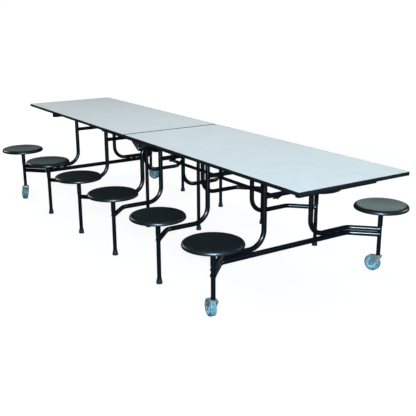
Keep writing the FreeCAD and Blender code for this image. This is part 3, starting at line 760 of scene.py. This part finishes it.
def bolt(form, centre, grip, shank, head, head_thick):
    """Adds a bolt along Y about a point, with a washer, a hexagon head and a hexagon nut."""
    half = ACROSS * (grip / 2 + head_thick)
    bar(form, centre - half, centre + half, shank, ROUND_SIDES, BOLT_EDGE)
    for sign in (-1, 1):
        seat_point = centre + ACROSS * sign * grip / 2
        washer_point = seat_point + ACROSS * sign * WASHER_THICK
        outer_point = seat_point + ACROSS * sign * (head_thick - BOLT_STUB)
        bar(form, seat_point, washer_point, head, ROUND_SIDES, WASHER_EDGE)
        bar(form, washer_point, outer_point, head * HEXAGON_SHARE, BOLT_SIDES, BOLT_EDGE)


# %% [markdown]
# ## Pivot bolts
# The CAD pins at the tube tops, in the link rods and in the centre hinge are plain.  On the real table
# they are zinc bolts with washers and lock nuts, and each takes its place and grip from its CAD pin.

# %% Pivot bolts
# Radius of the shank, radius of the head and thickness of the head.
BOLT_SIZES = {"pivot_pins": (0.005, 0.0085, 0.004), "link_pins": (0.004, 0.007, 0.003),
              "hinge_pins": (0.006, 0.0105, 0.004)}

for node in [name for name in nodes if "_pins" in name]:
    shank, head, head_thick = BOLT_SIZES[node.removesuffix("_left").removesuffix("_right")]
    bolts = bmesh.new()
    boxes = islands(node)
    for low, high in boxes:
        bolt(bolts, (low + high) / 2, high.y - low.y - 2 * head_thick, shank, head, head_thick)
    piece(f"bolts_{node}", bolts, [bright_zinc], nodes[node]["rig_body"], "zinc", node)
    print(f"{node}: {len(boxes)} bolts")

# %% [markdown]
# ## Caster forks
# A caster fork is pressed from sheet: a raceway with the swivel balls on top, a web below it, and two
# cheeks that slant back to the axle.  A cheek is a flat outline that is extruded to its thickness and
# bevelled, and the raceway is turned.

# %% Fork cheeks
CROWN_TOP = 0.1067
CHEEK_INSIDE = 0.0213
CHEEK_THICK = 0.003
CHEEK_TOP = 0.1030
CHEEK_BACK = 0.020
CHEEK_FRONT = 0.016
CHEEK_WAIST = 0.015
CHEEK_DROP = 0.012
CHEEK_EDGE = 0.0005
CHEEK_STEPS = 6
AXLE_HALF_WIDTH = 0.0115
AXLE_ROUND = 0.9 * AXLE_HALF_WIDTH
swivel = Vector(joints["caster_swivel_right_near"]["pos_m"])
axle_point = Vector(joints["wheel_spin_right_near"]["pos_m"])
TRAIL = (axle_point - swivel).xy.length


def cheek(side):
    """One side of the fork: wide at the crown and round about the axle."""
    form = bmesh.new()
    outline = [(-CHEEK_BACK, CHEEK_TOP), (CHEEK_FRONT, CHEEK_TOP), (CHEEK_WAIST, CHEEK_TOP - CHEEK_DROP),
               (AXLE_HALF_WIDTH - TRAIL, WHEEL_RADIUS - AXLE_HALF_WIDTH),
               (-AXLE_HALF_WIDTH - TRAIL, WHEEL_RADIUS - AXLE_HALF_WIDTH),
               (-AXLE_HALF_WIDTH - TRAIL, WHEEL_RADIUS + AXLE_HALF_WIDTH)]
    corners = [form.verts.new((x, side * CHEEK_INSIDE, z)) for x, z in outline]
    form.faces.new(corners)
    bmesh.ops.bevel(form, geom=corners[2:], offset=AXLE_ROUND, segments=CHEEK_STEPS, profile=0.5,
                    affect="VERTICES", material=-1)
    grown = bmesh.ops.extrude_face_region(form, geom=form.faces[:])
    moved = [item for item in grown["geom"] if isinstance(item, bmesh.types.BMVert)]
    bmesh.ops.translate(form, verts=moved, vec=(0, side * CHEEK_THICK, 0))
    bmesh.ops.recalc_face_normals(form, faces=form.faces)
    bmesh.ops.bevel(form, geom=form.edges[:], offset=CHEEK_EDGE, segments=1, profile=0.5,
                    affect="EDGES", material=-1)
    return form


# %% Fork with its raceway and axle
# Radius of the raceway, and how far below the top of the crown.
RACEWAY = [(0, 0.0065), (0.0205, 0.0065), (0.023, 0.0045), (0.0215, 0.003), (0.0225, 0.0015),
           (0.019, 0), (0, 0)]
RACEWAY_ROUNDS = {1: 0.001, 2: 0.001, 4: 0.0008, 5: 0.002}
RACEWAY_STEPS = 40
FORK_WEB_LENGTH = 0.034
FORK_WEB_THICK = 0.003
FORK_WEB_BITE = 0.002
FORK_WEB_BACK = 0.002
AXLE_RADIUS = 0.005
AXLE_HEAD = 0.009
AXLE_HEAD_THICK = 0.004
STEM_SUNK = 0.002
STEM_LENGTH = 0.030
STEM_RADIUS = 0.0103


def fork_form():
    """A fork about the swivel axis, with its wheel behind it along X."""
    outline = [(radius, CROWN_TOP - drop) for radius, drop in RACEWAY]
    form = turned(outline, RACEWAY_ROUNDS, RACEWAY_STEPS)
    web = bmesh.new()
    bmesh.ops.create_cube(web, size=1)
    bmesh.ops.scale(web, verts=web.verts,
                    vec=(FORK_WEB_LENGTH, 2 * CHEEK_INSIDE + FORK_WEB_BITE, FORK_WEB_THICK))
    bmesh.ops.translate(web, verts=web.verts, vec=(-FORK_WEB_BACK, 0, CHEEK_TOP - FORK_WEB_THICK / 2))
    join(form, web)
    for side in (-1, 1):
        join(form, cheek(side))
    bolt(form, Vector((-TRAIL, 0, WHEEL_RADIUS)), 2 * (CHEEK_INSIDE + CHEEK_THICK),
         AXLE_RADIUS, AXLE_HEAD, AXLE_HEAD_THICK)
    bar(form, (0, 0, CROWN_TOP - STEM_SUNK), (0, 0, CROWN_TOP + STEM_LENGTH), STEM_RADIUS, ROUND_SIDES)
    print(f"fork: trail {TRAIL:.3f}, {len(form.faces)} faces")
    return form


# %% Place the forks
fork = fork_form()
for caster in CASTERS:
    stem = Vector(joints[f"caster_swivel_{caster}"]["pos_m"])
    axle = Vector(joints[f"wheel_spin_{caster}"]["pos_m"])
    heading = math.atan2(stem.y - axle.y, stem.x - axle.x)
    place = Matrix.Translation((stem.x, stem.y, 0)) @ Matrix.Rotation(heading, 4, "Z")
    form = fork.copy()
    bmesh.ops.transform(form, verts=form.verts, matrix=place)
    piece(f"pressed_fork_{caster}", form, [bright_zinc], f"caster_{caster}", "zinc",
          f"caster_fork_{caster}")
print(f"placed {len(CASTERS)} forks")

# %% [markdown]
# ## Edge moulding
# The moulding is pressed into a groove round the board and has softly rounded edges.  The leaf's
# outline is drawn as a face, its two outer corners are rounded, it is inset by the moulding's width
# and extruded, and the edges that show are bevelled.

# %% Edge moulding
BAND_WIDTH = 0.003
CORNER_RADIUS = 0.005
CORNER_STEPS = 6
BAND_ROUND = 0.0007
BAND_STEPS = 3


def moulding(low, high, outer_sign):
    """A ring round the board between two corners of its box, rounded at the outer end."""
    form = bmesh.new()
    outline = [(low.x, low.y), (high.x, low.y), (high.x, high.y), (low.x, high.y)]
    corners = [form.verts.new((x, y, low.z)) for x, y in outline]
    form.faces.new(corners)
    outer_x = high.x if outer_sign > 0 else low.x
    outer = [vert for vert in corners if math.isclose(vert.co.x, outer_x)]
    bmesh.ops.bevel(form, geom=outer, offset=CORNER_RADIUS, segments=CORNER_STEPS, profile=0.5,
                    affect="VERTICES", material=-1)
    rim = form.edges[:]
    inner = bmesh.ops.inset_region(form, faces=form.faces[:], thickness=BAND_WIDTH, use_even_offset=True,
                                   use_boundary=True)
    ring = inner["faces"]
    bmesh.ops.delete(form, geom=[face for face in form.faces if face not in ring], context="FACES_ONLY")
    grown = bmesh.ops.extrude_face_region(form, geom=form.faces[:])
    top = [item for item in grown["geom"] if isinstance(item, bmesh.types.BMVert)]
    bmesh.ops.translate(form, verts=top, vec=(0, 0, high.z - low.z))
    bmesh.ops.recalc_face_normals(form, faces=form.faces)
    lifted = [item for item in grown["geom"] if isinstance(item, bmesh.types.BMEdge)]
    outside = [edge for edge in rim + lifted
               if edge.is_valid and all(on_outside(vert.co, low, high) for vert in edge.verts)]
    bmesh.ops.bevel(form, geom=outside, offset=BAND_ROUND, segments=BAND_STEPS, profile=0.5,
                    affect="EDGES", material=-1)
    return form


def on_outside(point, low, high):
    """Whether a point lies on the outer line of the moulding, round its corners too."""
    inside_x = min(point.x - low.x, high.x - point.x)
    inside_y = min(point.y - low.y, high.y - point.y)
    if inside_x < CORNER_RADIUS and inside_y < CORNER_RADIUS:
        to_arc = math.hypot(CORNER_RADIUS - inside_x, CORNER_RADIUS - inside_y)
        return to_arc > CORNER_RADIUS - BAND_WIDTH / 2 or min(inside_x, inside_y) < BAND_WIDTH / 2
    return min(inside_x, inside_y) < BAND_WIDTH / 2


for side, sign in SIDES:
    low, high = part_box(f"edge_band_{side}")
    form = moulding(low, high, sign)
    piece(f"edge_moulding_{side}", form, [black_vinyl], f"leaf_{side}", "edge_black", f"edge_band_{side}")
    print(f"moulding {side}: {len(form.faces)} faces")

# %% [markdown]
# ## Screws
# Hexagon washer-head screws hold the brackets, hinge flanges and end battens to the leaf, and the seat
# plates to the seats.  They are small and there are over a hundred, so each is only a hexagon on a
# thin flange.

# %% Screws
SCREW_FLANGE = 0.0052
SCREW_FLANGE_THICK = 0.0010
SCREW_HEAD = 0.0038
SCREW_HEAD_THICK = 0.0032
SCREW_EDGE = 0.0005
SCREW_SIDES = 12
BRACKET_IN_X = 0.014
BRACKET_IN_Y = 0.009
BRACKET_THICK = 0.003
FLANGE_MIDDLE = 0.006
FLANGE_START = 0.035
FLANGE_END = 0.020
FLANGE_THICK = 0.004
FLANGE_SCREWS = (0, 0.5, 1)
BATTEN_START = 1.7
BATTEN_SCREWS = (0.06, 0.28, 0.50, 0.72, 0.94)


def screw(form, x, y, z):
    """Adds a screw whose head hangs down from height z."""
    flange = Vector((x, y, z))
    head = flange - UP * SCREW_FLANGE_THICK
    bar(form, flange, head, SCREW_FLANGE, SCREW_SIDES)
    bar(form, head, head - UP * SCREW_HEAD_THICK, SCREW_HEAD, BOLT_SIDES, SCREW_EDGE)


def leaf_screws(side, sign):
    """The screws under one leaf: in its brackets, its hinge flanges and its end batten."""
    form = bmesh.new()
    for low, high in islands(f"pivot_brackets_{side}"):
        for x in (low.x + BRACKET_IN_X, high.x - BRACKET_IN_X):
            for y in (low.y + BRACKET_IN_Y, high.y - BRACKET_IN_Y):
                screw(form, x, y, high.z - BRACKET_THICK)
    for low, high in islands(f"hinge_plates_{side}"):
        flange_y = (low.y + high.y) / 2 + sign * FLANGE_MIDDLE
        start = sign * FLANGE_START
        end = high.x - FLANGE_END if sign > 0 else low.x + FLANGE_END
        for share in FLANGE_SCREWS:
            screw(form, start + (end - start) * share, flange_y, high.z - FLANGE_THICK)
    for low, high in islands(f"under_battens_{side}"):
        if abs(low.x) > BATTEN_START:
            for share in BATTEN_SCREWS:
                screw(form, (low.x + high.x) / 2, low.y + (high.y - low.y) * share, low.z)
    return form


for side, sign in SIDES:
    form = leaf_screws(side, sign)
    piece(f"leaf_screws_{side}", form, [bright_zinc], f"leaf_{side}", "zinc")
    print(f"leaf screws {side}: {len(form.faces)} faces")

# %% Screws under the seats
SEAT_SCREW_RADIUS = 0.058
SEAT_SCREWS = 4
SEAT_PLATE_THICK = 0.005

for stool in STOOLS:
    centre = middle(f"seat_{stool}")
    plate_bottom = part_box(f"seat_{stool}")[0].z - SEAT_PLATE_THICK
    form = bmesh.new()
    for number in range(SEAT_SCREWS):
        angle = math.tau * (number + 0.5) / SEAT_SCREWS
        screw(form, centre.x + SEAT_SCREW_RADIUS * math.cos(angle),
              centre.y + SEAT_SCREW_RADIUS * math.sin(angle), plate_bottom)
    piece(f"seat_screws_{stool}", form, [bright_zinc], f"seat_{stool}", "zinc")
print(f"seat screws: {SEAT_SCREWS} under each of {len(STOOLS)} seats")

# %% [markdown]
# ## Weld seams
# Where one tube meets another the real frame has a bead of weld under the paint.  The bead follows the
# line where the two round tubes cut each other, so a closed curve is laid on that line by its formula,
# given a round bevel that swells and shrinks a little, and made a mesh.

# %% Weld seams
BEAD_RADIUS = 0.0019
BEAD_POINTS = 40
BEAD_RIPPLE = 0.18
RIPPLES = 14


def weld_seam(form, point, along, tube_radius, post_radius, post_axis):
    """Adds the bead round a tube that leaves a post at a point, along a direction."""
    along = along.normalized()
    beside = post_axis.cross(along).normalized()
    curve = bpy.data.curves.new("bead", "CURVE")
    curve.dimensions = "3D"
    curve.bevel_depth = BEAD_RADIUS
    curve.bevel_resolution = 1
    line = curve.splines.new("POLY")
    line.points.add(BEAD_POINTS - 1)
    line.use_cyclic_u = True
    for number, knot in enumerate(line.points):
        angle = math.tau * number / BEAD_POINTS
        sideways = tube_radius * math.cos(angle)
        reach = math.sqrt(max(post_radius ** 2 - sideways ** 2, 0))
        place = point + along * reach + beside * sideways + post_axis * tube_radius * math.sin(angle)
        knot.co = (*place, 1)
        knot.radius = 1 + BEAD_RIPPLE * math.sin(RIPPLES * angle)
    holder = bpy.data.objects.new("bead", curve)
    mesh = bpy.data.meshes.new_from_object(holder)
    form.from_mesh(mesh)
    bpy.data.objects.remove(holder)
    bpy.data.curves.remove(curve)
    bpy.data.meshes.remove(mesh)


# %% Places of the welds
ARM_RADIUS = 0.015
CROSS_RADIUS = 0.014
ARM_Y = 0.172
ARM_HEIGHT = 0.273
LOWER_RADIUS = 0.0159
LOWER_HEIGHT = 0.240
CROSS_HEIGHT = 0.565
CENTRE_BAR_HEIGHT = 0.568
BEND_HEIGHT = 0.5895
LEG_Y = 0.135
STOOL_OFFSET = 0.140
STITCH_LENGTH = 0.030
STITCH_RADIUS = 0.0042
STITCH_PLACES = (0.285, 0.345, 0.405)
STITCH_SIDES = 10
STITCH_EDGE = 0.002
EDGES = (("near", -1), ("far", 1))


def post_welds(form, post, sign, edge_sign, paired):
    """Beads where the arm, and at the ends of the table the lower tube too, leave a stool post."""
    inward = Vector((-sign, -edge_sign, 0))
    weld_seam(form, Vector((post.x, post.y, ARM_HEIGHT)), inward, ARM_RADIUS, POST_RADIUS, UP)
    if paired:
        weld_seam(form, Vector((post.x, post.y, LOWER_HEIGHT)), inward, LOWER_RADIUS, POST_RADIUS, UP)


def stitches(form, frame_x, edge_sign):
    """Short beads between the arm and the lower tube that runs under it."""
    between = (ARM_HEIGHT - ARM_RADIUS + LOWER_HEIGHT + LOWER_RADIUS) / 2
    for y in STITCH_PLACES:
        start = Vector((frame_x, edge_sign * y, between))
        end = start + ACROSS * edge_sign * STITCH_LENGTH
        bar(form, start, end, STITCH_RADIUS, STITCH_SIDES, STITCH_EDGE)


def leg_welds(form, frame_x, sign):
    """Beads above and below the bend that the centre leg meets."""
    meeting = Vector((frame_x, sign * LEG_Y, BEND_HEIGHT))
    for along in (UP, -UP):
        weld_seam(form, meeting, along, POST_RADIUS, ARM_RADIUS, ACROSS)


def crossbar_weld(form, frame_name, frame_x, edge_sign):
    """The bead where a crossbar meets an upright arm."""
    at_centre = frame_name == "centre"
    height = CENTRE_BAR_HEIGHT if at_centre else CROSS_HEIGHT
    radius = ARM_RADIUS if at_centre else CROSS_RADIUS
    point = Vector((frame_x, edge_sign * ARM_Y, height))
    weld_seam(form, point, -edge_sign * ACROSS, radius, ARM_RADIUS, UP)


# %% Weld the frames
for frame_name in ("end", "mid", "centre"):
    for side, sign in SIDES:
        seam = bmesh.new()
        for edge, edge_sign in EDGES:
            post = middle(f"seat_{side}_{frame_name}_{edge}")
            frame_x = post.x - sign * STOOL_OFFSET
            post_welds(seam, post, sign, edge_sign, frame_name == "end")
            if frame_name == "end":
                stitches(seam, frame_x, edge_sign)
            if frame_name != "centre" or edge_sign == -sign:
                crossbar_weld(seam, frame_name, frame_x, edge_sign)
        if frame_name == "centre":
            leg_welds(seam, frame_x, sign)
        piece(f"weld_seams_{frame_name}_{side}", seam, [black_coat], f"{frame_name}_frame_{side}",
              "frame_black")
        print(f"weld seams {frame_name} {side}: {len(seam.faces)} faces")

# %% [markdown]
# ## Plugs
# Open tube ends are closed with black plastic plugs, so that nobody is cut by them: domed ones in the
# link rods, flat square ones in the grip tubes under the leaves.

# %% Plugs
PLUG_DOME = 0.004
PLUG_ROUND = 0.0018
PLUG_LIP = 0.0025
GRIP_BEVEL = 0.001


def rod_plug(radius):
    """A domed plug that stands on the end of a round tube."""
    outline = [(0, 0), (radius, 0), (radius, PLUG_DOME / 2), (0, PLUG_DOME)]
    return turned(outline, {2: PLUG_ROUND}, ROUND_SIDES)


def grip_plug(size):
    """A square lid with softened edges."""
    form = bmesh.new()
    bmesh.ops.create_cube(form, size=1)
    bmesh.ops.scale(form, verts=form.verts, vec=(size, PLUG_LIP, size))
    bmesh.ops.bevel(form, geom=form.edges[:], offset=GRIP_BEVEL, segments=BAR_STEPS, profile=0.5,
                    affect="EDGES", material=-1)
    return form


for side in ("left", "right"):
    low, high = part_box(f"link_rod_{side}")
    axis_point = (low + high) / 2
    plug = rod_plug((high.y - low.y) / 2)
    plugs = bmesh.new()
    for end_x, facing in ((low.x, -1), (high.x, 1)):
        upright = UP.rotation_difference(Vector((facing, 0, 0))).to_matrix().to_4x4()
        join(plugs, plug, Matrix.Translation((end_x, axis_point.y, axis_point.z)) @ upright)
    piece(f"rod_plugs_{side}", plugs, [black_vinyl], f"link_rod_{side}", "frame_black")
    grips = [lump for lump in islands(f"under_battens_{side}") if abs(lump[0].x) < BATTEN_START]
    lids = bmesh.new()
    for low, high in grips:
        lid = grip_plug(high.x - low.x)
        for end_y in (low.y - PLUG_LIP / 2, high.y + PLUG_LIP / 2):
            join(lids, lid, Matrix.Translation(((low.x + high.x) / 2, end_y, (low.z + high.z) / 2)))
    piece(f"grip_plugs_{side}", lids, [black_vinyl], f"leaf_{side}", "frame_black")
    print(f"plugs {side}: {len(plugs.faces) + len(lids.faces)} faces")
